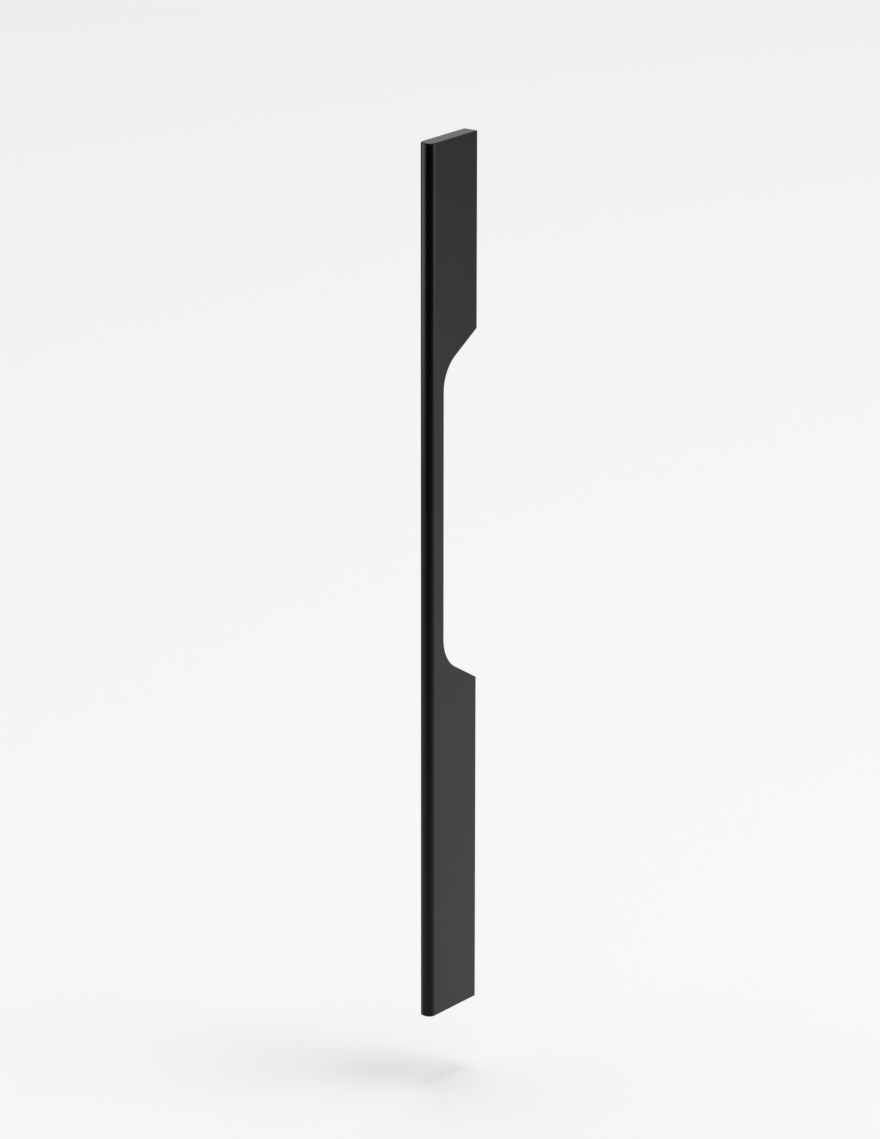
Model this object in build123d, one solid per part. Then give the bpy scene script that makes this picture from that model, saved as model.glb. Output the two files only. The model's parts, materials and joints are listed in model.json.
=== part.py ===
from build123d import *
from math import radians, tan
import os

# Cabinet pull: a flat bar that stands on edge on a door, with a finger gap cut in from its back.
# Sizes are in millimetres and angles in degrees.
# +Z runs up the bar, +Y points into the door and -Y towards the hand.
# The origin lies on the door's face, midway between the two fixing holes.

# Length, set by the fixing holes
fixing_spacing = 320.0
end_overhang = 40.0

# Section: the grip in front, the room for fingers behind it
grip_depth = 9.5
finger_clearance = 24.0
bar_thickness = 7.0
nose_flat = 1.0
edge_break = 0.3

# Finger gap, seen from the side: the two blocks that it leaves on the door, and its own corners
upper_block_length = 88.0
lower_block_length = 152.0
gap_wall_slope = 30.0
gap_corner_radius = 17.0

# Fixing holes, drilled for an M4 thread in the back edge of each block
tap_drill_diameter = 3.3
tap_drill_depth = 16.0
countersink_diameter = 4.2
countersink_angle = 90.0
drill_point_angle = 118.0

# How far a cutter starts outside the bar
cutter_clearance = 2.0

# Sizes that follow from the ones above
bar_length = fixing_spacing + 2 * end_overhang
bar_projection = grip_depth + finger_clearance
nose_radius = (bar_thickness - nose_flat) / 2
bar_top = bar_length / 2
bar_bottom = -bar_length / 2
gap_top = bar_top - upper_block_length
gap_bottom = bar_bottom + lower_block_length
wall_rise = tan(radians(gap_wall_slope))


def bar_blank():
    """The straight bar, with the front corners of its section rounded into a nose."""
    with BuildPart() as blank:
        with BuildSketch(Plane.XY.offset(bar_bottom)):
            with Locations((0, -bar_projection / 2)):
                Rectangle(bar_thickness, bar_projection)
            fillet(vertices().group_by(Axis.Y)[0], nose_radius)
        extrude(amount=bar_length)
    return blank.part


def finger_gap():
    """Cutter for the gap: open at the back, narrower towards the grip, with rounded inner corners."""
    outside_rise = cutter_clearance * wall_rise
    inside_rise = finger_clearance * wall_rise
    with BuildPart() as cutter:
        with BuildSketch(Plane.YZ):
            with BuildLine():
                Polyline(
                    (cutter_clearance, gap_top + outside_rise),
                    (-finger_clearance, gap_top - inside_rise),
                    (-finger_clearance, gap_bottom + inside_rise),
                    (cutter_clearance, gap_bottom - outside_rise),
                    close=True,
                )
            make_face()
            fillet(vertices().group_by(Axis.X)[0], gap_corner_radius)
        extrude(amount=bar_thickness / 2 + cutter_clearance, both=True)
    return cutter.part


def fixing_hole():
    """Cutter for one fixing hole: its mouth is at the origin and it runs towards -Y."""
    drill_radius = tap_drill_diameter / 2
    mouth_radius = countersink_diameter / 2
    flare = tan(radians(countersink_angle / 2))
    mouth_depth = (mouth_radius - drill_radius) / flare
    point_depth = drill_radius / tan(radians(drill_point_angle / 2))
    with BuildPart() as cutter:
        with BuildSketch():
            with BuildLine():
                Polyline(
                    (0, cutter_clearance),
                    (mouth_radius + cutter_clearance * flare, cutter_clearance),
                    (drill_radius, -mouth_depth),
                    (drill_radius, -tap_drill_depth),
                    (0, -tap_drill_depth - point_depth),
                    close=True,
                )
            make_face()
        revolve(axis=Axis.Y)
    return cutter.part


def sharp_edges(part):
    """Edges where two faces meet at an angle. A round that runs smoothly into a flat has none."""
    sharp = ShapeList()
    for edge in part.edges():
        middle = edge @ 0.5
        sides = [face for face in part.faces() if edge in face.edges()]
        normals = [face.normal_at(middle) for face in sides]
        if normals[0].get_angle(normals[1]) > 1:
            sharp.append(edge)
    return sharp


def pull_bar():
    """The finished bar: blank, finger gap, broken edges, then the two fixing holes."""
    bar = bar_blank() - finger_gap()
    bar = fillet(sharp_edges(bar), edge_break)
    for side in (-1, 1):
        bar -= Pos(0, 0, side * fixing_spacing / 2) * fixing_hole()
    return bar


os.makedirs("parts", exist_ok=True)
export_step(pull_bar(), "parts/pull_bar.step")
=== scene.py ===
import json
from math import ceil, cos, pi, radians, sin, tan

import bmesh
import bpy
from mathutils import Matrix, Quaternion, Vector


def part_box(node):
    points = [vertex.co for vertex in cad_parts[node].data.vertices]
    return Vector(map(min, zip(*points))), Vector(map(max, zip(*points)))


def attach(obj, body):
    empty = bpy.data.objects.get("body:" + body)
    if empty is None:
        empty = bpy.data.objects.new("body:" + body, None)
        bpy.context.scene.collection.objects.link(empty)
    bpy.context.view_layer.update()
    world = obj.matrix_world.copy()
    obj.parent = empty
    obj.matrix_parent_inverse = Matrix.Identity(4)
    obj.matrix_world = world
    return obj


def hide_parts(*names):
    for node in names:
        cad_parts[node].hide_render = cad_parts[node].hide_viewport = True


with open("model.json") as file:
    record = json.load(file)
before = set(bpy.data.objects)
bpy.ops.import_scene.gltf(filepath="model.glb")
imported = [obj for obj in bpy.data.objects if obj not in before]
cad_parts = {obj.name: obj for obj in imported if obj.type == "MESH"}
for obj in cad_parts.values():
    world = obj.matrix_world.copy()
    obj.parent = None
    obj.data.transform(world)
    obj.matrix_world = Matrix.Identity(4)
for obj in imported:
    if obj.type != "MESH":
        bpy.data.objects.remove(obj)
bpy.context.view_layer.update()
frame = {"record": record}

# Cabinet pull: a satin black bar that floats upright over a pale studio floor.
# Sizes are in metres and angles in radians, in the part's own frame.
# +Z runs up the bar, +Y points into the door and -Y towards the hand.
# An azimuth is 0 towards the hand and grows towards +X.

low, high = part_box("pull_bar")
mounts = {mount["name"]: mount for mount in frame["record"]["mounts"]}

# Camera, fitted to the outline in the photograph
view_azimuth = radians(36.51)
view_tilt = radians(17.45)
view_distance = 2.423
view_lens = 173.43
view_sensor = 36.0
view_roll = radians(0.05)
aim_left = 0.01317
aim_up = 0.00114

# Side of the bar: the two blocks on the door, the grip between them and the gap's own corners
upper_block_length = 0.088
lower_block_length = 0.152
finger_clearance = 0.024
gap_wall_slope = radians(30)
gap_corner_radius = 0.017
gap_corner_steps = 40

# Nose and broken edges
nose_radius = 0.003
nose_steps = 24
edge_break = 0.0003
edge_steps = 4
sharp_angle = radians(35)

# Fixing holes: countersunk mouth, M4 thread and drill point. The thread's shares are parts of its pitch.
mouth_radius = 0.0021
thread_radius = 0.002
thread_pitch = 0.0007
thread_length = 0.0125
thread_runout = 0.001
crest_share = 0.298
flank_share = 0.289
drill_depth = 0.016
drill_point_angle = radians(118)
hole_columns = 48
rows_per_turn = 8
depth_digits = 6
facing_back = 0.999
mm_per_metre = 1000

# Finish: its colours, its roughness, and the sizes, stretch and depth of the marks in it
darkest_black = (0.0012, 0.0012, 0.0013, 1)
palest_black = (0.0021, 0.0021, 0.0022, 1)
least_roughness = 0.21
most_roughness = 0.25
roughness_edges = (0.6, 1.4)
refractive_index = 1.5
grain_size = 0.00025
grain_depth = 0.000002
die_line_size = 0.0004
die_line_stretch = 150
die_line_share = 0.5
cloud_size = 0.03
cloud_stretch = 3

# Floor, which blends into the backdrop between two distances from the bar
floor_gap = 0.033
floor_radius = 12.0
floor_sides = 96
floor_colour = 0.94
floor_fade_start = 2.4
floor_fade_end = 3.8

# Painted reflection: the share of the floor's brightness that reflections show, and how far from the bar it
# reaches before it fades.
# It is painted shade in front. The side towards the back is painted paler, and so is a painted pool of light
# in front of the left softbox.
# Those two add to the dark one, and each grows to full between two cosines of the angle to its azimuth.
dark_level = 0.30
dark_reach = 0.88
pale_azimuth = radians(165)
pale_edges = (-0.45, 0.95)
pale_level = 0.60
pale_reach = 1.64
# Painted pool of light on the floor in front of the left softbox, seen only in reflections
painted_pool_azimuth = radians(-50)
painted_pool_edges = (0.93, 1.0)
painted_pool_level = 0.50
painted_pool_reach = 1.3

# World: what the camera sees, what reflections see behind and in front of the bar, and what lights the scene.
# The front turns into the back between two values of a direction's Y.
backdrop_level = 0.86
reflected_backdrop = 0.64
reflected_studio = 0.008
backdrop_edges = (-0.2, 0.3)
ambient_level = 0.567

# Large round lamps. A level is the light on the floor under the bar, where 1 makes white look white.
side_azimuth = radians(116)
side_elevation = radians(55)
side_distance = 6.3
side_angle = radians(31)
side_level = 0.11
top_azimuth = radians(171)
top_elevation = radians(83)
top_distance = 7.5
top_angle = radians(24)
top_level = 0.30

# Softboxes low over the floor. Their light stays within the grid's angle, off the floor beside them.
# A radiance of 1 looks white, and a lift is the height of the lower edge above the floor.
grid_angle = radians(45)
left_azimuth = radians(-49)
left_distance = 0.95
left_width = 0.37
left_height = 0.30
left_lift = 0.085
left_radiance = 3.5
right_azimuth = radians(120.5)
right_distance = 1.30
right_width = 0.75
right_height = 0.5
right_lift = 0.0
right_radiance = 1.4


def plan_direction(azimuth, elevation=0.0):
    """Unit vector towards an azimuth and an elevation."""
    return Vector((sin(azimuth) * cos(elevation), -cos(azimuth) * cos(elevation), sin(elevation)))


def add_object(name, data):
    """New object in the scene."""
    made = bpy.data.objects.new(name, data)
    bpy.context.scene.collection.objects.link(made)
    return made


def add_camera():
    """Camera at the photograph's viewing angle."""
    backward = plan_direction(view_azimuth, view_tilt)
    right = plan_direction(view_azimuth + pi / 2)
    up = backward.cross(right)
    data = bpy.data.cameras.new("camera")
    data.sensor_width = view_sensor
    data.lens = view_lens
    camera = add_object("camera", data)
    camera.location = up * aim_up - right * aim_left + backward * view_distance
    level = backward.to_track_quat("Z", "Y")
    camera.rotation_euler = (Quaternion(backward, view_roll) @ level).to_euler()
    bpy.context.scene.camera = camera


def node(tree, kind, **settings):
    """New shader node with its properties set."""
    made = tree.nodes.new(kind)
    for name, value in settings.items():
        setattr(made, name, value)
    return made


def connect(tree, source, socket):
    """Joins an output to a socket, or sets the socket to a plain value."""
    if isinstance(source, bpy.types.NodeSocket):
        tree.links.new(source, socket)
    else:
        socket.default_value = source


def calculate(tree, operation, *values):
    """Result of a Math node on outputs and numbers."""
    made = node(tree, "ShaderNodeMath", operation=operation)
    for socket, value in zip(made.inputs, values):
        connect(tree, value, socket)
    return made.outputs[0]


def combine(tree, operation, *vectors):
    """Vector Math node on outputs and fixed vectors."""
    made = node(tree, "ShaderNodeVectorMath", operation=operation)
    for socket, vector in zip(made.inputs, vectors):
        connect(tree, vector, socket)
    return made


def remap(tree, value, start, end, at_start, at_end, kind="LINEAR"):
    """Result of a Map Range node."""
    made = node(tree, "ShaderNodeMapRange", interpolation_type=kind)
    for socket, setting in zip(made.inputs, (value, start, end, at_start, at_end)):
        connect(tree, setting, socket)
    return made.outputs["Result"]


def noise(tree, point, size, detail=2.0, stretch=1.0):
    """Noise with features about as large as size, drawn out along the bar by stretch."""
    mapping = node(tree, "ShaderNodeMapping")
    mapping.inputs["Scale"].default_value = (1 / size, 1 / size, 1 / size / stretch)
    connect(tree, point, mapping.inputs["Vector"])
    made = node(tree, "ShaderNodeTexNoise")
    made.inputs["Scale"].default_value = 1.0
    made.inputs["Detail"].default_value = detail
    connect(tree, mapping.outputs["Vector"], made.inputs["Vector"])
    return made.outputs["Fac"]


def black_aluminium():
    """Smooth satin black anodised aluminium: very fine grain, with faint die lines along the bar."""
    material = bpy.data.materials.new("black_aluminium")
    material.use_nodes = True
    tree = material.node_tree
    shader = tree.nodes["Principled BSDF"]
    point = node(tree, "ShaderNodeTexCoord").outputs["Object"]
    grain = noise(tree, point, grain_size, detail=3.0)
    die_lines = noise(tree, point, die_line_size, stretch=die_line_stretch)
    clouds = noise(tree, point, cloud_size, stretch=cloud_stretch)

    colours = node(tree, "ShaderNodeValToRGB")
    colours.color_ramp.elements[0].color = darkest_black
    colours.color_ramp.elements[1].color = palest_black
    connect(tree, clouds, colours.inputs["Fac"])
    connect(tree, colours.outputs["Color"], shader.inputs["Base Color"])

    unevenness = calculate(tree, "ADD", die_lines, clouds)
    roughness = remap(tree, unevenness, *roughness_edges, least_roughness, most_roughness)
    connect(tree, roughness, shader.inputs["Roughness"])
    shader.inputs["IOR"].default_value = refractive_index

    height = calculate(tree, "MULTIPLY_ADD", die_lines, die_line_share, grain)
    bump = node(tree, "ShaderNodeBump")
    bump.inputs["Distance"].default_value = grain_depth
    connect(tree, height, bump.inputs["Height"])
    connect(tree, bump.outputs["Normal"], shader.inputs["Normal"])
    return material


def painted_floor_patch(tree, heading, azimuth, edges, kind):
    """How much a painted patch of light on the reflected floor adds in each heading from the bar, from 0 to
    1.
    """
    towards = combine(tree, "DOT_PRODUCT", heading, plan_direction(azimuth)).outputs["Value"]
    return remap(tree, towards, *edges, 0.0, 1.0, kind=kind)


def painted_floor_reflection(tree, place, distance):
    """Painted reflection: share of the floor's brightness that reflections show, with painted shade in front
    and painted light at the back and in a pool by the left softbox.
    """
    heading = combine(tree, "NORMALIZE", place).outputs["Vector"]
    pale = painted_floor_patch(tree, heading, pale_azimuth, pale_edges, "LINEAR")
    # Painted pool of light in front of the left softbox
    painted_pool = painted_floor_patch(tree, heading, painted_pool_azimuth, painted_pool_edges, "SMOOTHSTEP")
    level = calculate(tree, "MULTIPLY_ADD", pale, pale_level, dark_level)
    level = calculate(tree, "MULTIPLY_ADD", painted_pool, painted_pool_level, level)
    reach = calculate(tree, "MULTIPLY_ADD", pale, pale_reach, dark_reach)
    reach = calculate(tree, "MULTIPLY_ADD", painted_pool, painted_pool_reach, reach)
    reaches = calculate(tree, "DIVIDE", distance, reach)
    spread = calculate(tree, "MULTIPLY_ADD", reaches, reaches, 1.0)
    return calculate(tree, "DIVIDE", level, calculate(tree, "MULTIPLY", spread, spread))


def floor_material():
    """Pale floor that blends into the backdrop far off and hides from below; reflections see it with painted
    shade and painted light.
    """
    material = bpy.data.materials.new("floor")
    material.use_nodes = True
    tree = material.node_tree
    tree.nodes.clear()
    geometry = node(tree, "ShaderNodeNewGeometry")
    place = combine(tree, "MULTIPLY", geometry.outputs["Position"], (1, 1, 0)).outputs["Vector"]
    distance = combine(tree, "LENGTH", place).outputs["Value"]
    rays = node(tree, "ShaderNodeLightPath")
    # Painted reflection: for glossy rays the floor's colour carries painted shade in front and painted light
    # behind and by the left softbox
    painted_reflection = painted_floor_reflection(tree, place, distance)
    share = remap(tree, rays.outputs["Is Glossy Ray"], 0.0, 1.0, 1.0, painted_reflection)
    colour = calculate(tree, "MULTIPLY", share, floor_colour)
    far = remap(tree, distance, floor_fade_start, floor_fade_end, 0.0, 1.0, kind="SMOOTHSTEP")
    faded = calculate(tree, "MULTIPLY", far, rays.outputs["Is Camera Ray"])
    hidden = calculate(tree, "MAXIMUM", faded, geometry.outputs["Backfacing"])

    diffuse = node(tree, "ShaderNodeBsdfDiffuse")
    connect(tree, colour, diffuse.inputs["Color"])
    clear = node(tree, "ShaderNodeBsdfTransparent")
    sides = node(tree, "ShaderNodeMixShader")
    connect(tree, hidden, sides.inputs[0])
    connect(tree, diffuse.outputs[0], sides.inputs[1])
    connect(tree, clear.outputs[0], sides.inputs[2])
    output = node(tree, "ShaderNodeOutputMaterial")
    connect(tree, sides.outputs[0], output.inputs["Surface"])
    return material


def studio_world():
    """Even pale backdrop for the camera, and for reflections a studio that is dark in front of the part."""
    world = bpy.data.worlds.new("studio")
    bpy.context.scene.world = world
    world.use_nodes = True
    world.cycles.sampling_method = "NONE"
    tree = world.node_tree
    tree.nodes.clear()
    direction = node(tree, "ShaderNodeTexCoord").outputs["Generated"]
    axes = node(tree, "ShaderNodeSeparateXYZ")
    connect(tree, direction, axes.inputs[0])
    levels = (reflected_studio, reflected_backdrop)
    studio = remap(tree, axes.outputs["Y"], *backdrop_edges, *levels, kind="SMOOTHSTEP")
    rays = node(tree, "ShaderNodeLightPath")
    unlit = remap(tree, rays.outputs["Is Glossy Ray"], 0.0, 1.0, ambient_level, studio)
    seen = calculate(tree, "MAXIMUM", rays.outputs["Is Camera Ray"], rays.outputs["Is Transmission Ray"])
    strength = remap(tree, seen, 0.0, 1.0, unlit, backdrop_level)
    background = node(tree, "ShaderNodeBackground")
    background.inputs["Color"].default_value = (1, 1, 1, 1)
    connect(tree, strength, background.inputs["Strength"])
    output = node(tree, "ShaderNodeOutputWorld")
    connect(tree, background.outputs[0], output.inputs["Surface"])


def add_floor():
    """Large round floor a little below the bar, which floats over it."""
    mesh = bmesh.new()
    bmesh.ops.create_circle(mesh, cap_ends=True, segments=floor_sides, radius=floor_radius)
    data = bpy.data.meshes.new("floor")
    mesh.to_mesh(data)
    mesh.free()
    data.materials.append(floor_material())
    floor = add_object("floor", data)
    floor.location.z = low.z - floor_gap


def add_softbox(name, azimuth, distance, width, height, lift, radiance):
    """Lamp with a grid, aimed at the bar's top. Its energy allows for what the grid holds back."""
    passed = 1 - grid_angle / tan(grid_angle)
    lamp = bpy.data.lights.new(name, "AREA")
    lamp.shape = "RECTANGLE"
    lamp.size = width
    lamp.size_y = height
    lamp.spread = 2 * grid_angle
    lamp.energy = radiance * pi * width * height * passed
    box = add_object(name, lamp)
    box.location = plan_direction(azimuth) * distance
    box.location.z = low.z - floor_gap + lift + height / 2
    backward = box.location - Vector((0, 0, high.z))
    box.rotation_euler = backward.to_track_quat("Z", "Y").to_euler()
    box.visible_camera = False


def add_round_lamp(name, azimuth, elevation, distance, angle, level):
    """Large round lamp aimed at the floor under the bar, with the angle that it spans as seen from there."""
    radius = distance * tan(angle / 2)
    radiance = level / sin(elevation) / sin(angle / 2) ** 2
    lamp = bpy.data.lights.new(name, "AREA")
    lamp.shape = "DISK"
    lamp.size = 2 * radius
    lamp.energy = radiance * pi * pi * radius ** 2
    outward = plan_direction(azimuth, elevation)
    foot = Vector((0, (low.y + high.y) / 2, low.z - floor_gap))
    hung = add_object(name, lamp)
    hung.location = foot + outward * distance
    hung.rotation_euler = outward.to_track_quat("Z", "Y").to_euler()
    hung.visible_camera = False


def rounded(before, corner, after, radius, steps):
    """Points of the arc that rounds one corner of an outline."""
    to_before = (before - corner).normalized()
    to_after = (after - corner).normalized()
    half = to_before.angle(to_after) / 2
    centre = corner + (to_before + to_after).normalized() * radius / sin(half)
    first = corner + to_before * radius / tan(half) - centre
    last = corner + to_after * radius / tan(half) - centre
    turned = [first.slerp(last, step / steps).normalized() for step in range(steps + 1)]
    return [centre + direction * radius for direction in turned]


def side_outline():
    """Outline of the bar's side as (y, z) points, with the finger gap cut in from the back."""
    grip_back = high.y - finger_clearance
    wall_rise = finger_clearance * tan(gap_wall_slope)
    gap_top = Vector((high.y, high.z - upper_block_length))
    gap_bottom = Vector((high.y, low.z + lower_block_length))
    upper_corner = Vector((grip_back, gap_top.y - wall_rise))
    lower_corner = Vector((grip_back, gap_bottom.y + wall_rise))
    outline = [Vector((low.y, low.z)), Vector((low.y, high.z)), Vector((high.y, high.z)), gap_top]
    outline += rounded(gap_top, upper_corner, lower_corner, gap_corner_radius, gap_corner_steps)
    outline += rounded(upper_corner, lower_corner, gap_bottom, gap_corner_radius, gap_corner_steps)
    outline += [gap_bottom, Vector((high.y, low.z))]
    return outline


def is_front_corner(edge):
    """True for the two long upright edges at the front, which the nose rounds off."""
    first, last = (vertex.co for vertex in edge.verts)
    return max(first.y, last.y) < low.y + edge_break and abs(first.z - last.z) > nose_radius


def face_outwards(mesh):
    """Turns every face of a closed mesh outwards."""
    mesh.normal_update()
    bmesh.ops.recalc_face_normals(mesh, faces=mesh.faces)


def round_edges(mesh, edges, radius, steps):
    """Rounds edges in place."""
    bmesh.ops.bevel(mesh, geom=edges, affect="EDGES", offset=radius, segments=steps, profile=0.5)
    mesh.normal_update()


def bar_blank():
    """Mesh of the bar without its holes: the outline at full thickness, the nose and the broken edges."""
    mesh = bmesh.new()
    outline = side_outline()
    left = [mesh.verts.new((low.x, y, z)) for y, z in outline]
    right = [mesh.verts.new((high.x, y, z)) for y, z in outline]
    mesh.faces.new(left)
    mesh.faces.new(reversed(right))
    for index in range(len(outline)):
        mesh.faces.new((left[index - 1], left[index], right[index], right[index - 1]))
    face_outwards(mesh)
    round_edges(mesh, [edge for edge in mesh.edges if is_front_corner(edge)], nose_radius, nose_steps)
    sharp = [edge for edge in mesh.edges if edge.calc_face_angle() > sharp_angle]
    round_edges(mesh, sharp, edge_break, edge_steps)
    return mesh


def wall_radius(turn, depth, drill_radius):
    """Radius of a hole's wall: its countersunk mouth, then the drilled wall with the thread's groove."""
    phase = (depth / thread_pitch - turn) % 1
    groove = (0.5 - abs(phase - 0.5) - crest_share / 2) / flank_share
    runout = (thread_length - depth) / thread_runout
    cut = min(max(groove, 0), 1) * min(max(runout, 0), 1)
    return max(drill_radius + (thread_radius - drill_radius) * cut, mouth_radius - depth)


def hole_point(mouth, turn, depth, radius):
    """Point of a hole, a share of a turn round its axis and a depth below its mouth."""
    angle = 2 * pi * turn
    return mouth + Vector((radius * cos(angle), -depth, radius * sin(angle)))


def threaded_wall(mesh, mouth, drill_radius):
    """Wall down to the thread's end, in rows that follow its helix. Returns the rings at both ends."""
    made = {}

    def vertex(row, column):
        share = column % hole_columns / hole_columns
        depth = (row / rows_per_turn + column / hole_columns) * thread_pitch
        depth = min(max(depth, 0), thread_length)
        place = (share, round(depth / thread_pitch, depth_digits))
        if place not in made:
            radius = wall_radius(share, depth, drill_radius)
            made[place] = mesh.verts.new(hole_point(mouth, share, depth, radius))
        return made[place]

    rows = ceil(thread_length / thread_pitch * rows_per_turn)
    for row in range(-rows_per_turn, rows):
        for column in range(hole_columns):
            lap = [(row, column), (row, column + 1), (row + 1, column + 1), (row + 1, column)]
            corners = list(dict.fromkeys(vertex(*place) for place in lap))
            if len(corners) > 2:
                mesh.faces.new(corners)
    return [[vertex(row, column) for column in range(hole_columns)] for row in (-rows_per_turn, rows)]


def add_hole(mesh, mount):
    """One fixing hole in the back face that holds the mount."""
    drill_radius = mount["dims"]["r_mm"] / mm_per_metre
    mouth = Vector((mount["pos_m"][0], high.y, mount["pos_m"][2]))
    backs = [face for face in mesh.faces if face.normal.y > facing_back]
    back = min(backs, key=lambda face: (face.calc_center_median() - mouth).length)
    border = list(back.edges)
    bmesh.ops.delete(mesh, geom=[back], context="FACES_ONLY")

    mouth_ring, thread_end = threaded_wall(mesh, mouth, drill_radius)
    shares = [column / hole_columns for column in range(hole_columns)]
    drill_end = [mesh.verts.new(hole_point(mouth, share, drill_depth, drill_radius)) for share in shares]
    point_depth = drill_depth + drill_radius / tan(drill_point_angle / 2)
    point = mesh.verts.new(hole_point(mouth, 0, point_depth, 0))
    for index in range(hole_columns):
        mesh.faces.new((thread_end[index - 1], thread_end[index], drill_end[index], drill_end[index - 1]))
        mesh.faces.new((drill_end[index - 1], drill_end[index], point))
        border.append(mesh.edges.get((mouth_ring[index - 1], mouth_ring[index])))
    bmesh.ops.triangle_fill(mesh, use_beauty=True, edges=border, normal=(0, 1, 0))


def add_bar():
    """The finished bar, in place of the plain solid."""
    mesh = bar_blank()
    for name in ("upper_fixing_hole", "lower_fixing_hole"):
        add_hole(mesh, mounts[name])
    face_outwards(mesh)
    for face in mesh.faces:
        face.smooth = True
    for edge in mesh.edges:
        edge.smooth = edge.calc_face_angle() < sharp_angle
    data = bpy.data.meshes.new("bar")
    mesh.to_mesh(data)
    mesh.free()
    data.materials.append(black_aluminium())
    bar = add_object("bar", data)
    shading = bar.modifiers.new("shading", "WEIGHTED_NORMAL")
    shading.keep_sharp = True
    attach(bar, "root")
    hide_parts("pull_bar")


bpy.context.scene.view_settings.view_transform = "Standard"
add_camera()
studio_world()
add_floor()
add_softbox("softbox_left", left_azimuth, left_distance, left_width, left_height, left_lift, left_radiance)
add_softbox(
    "softbox_right", right_azimuth, right_distance, right_width, right_height, right_lift, right_radiance
)
add_round_lamp("side_lamp", side_azimuth, side_elevation, side_distance, side_angle, side_level)
add_round_lamp("top_lamp", top_azimuth, top_elevation, top_distance, top_angle, top_level)
add_bar()
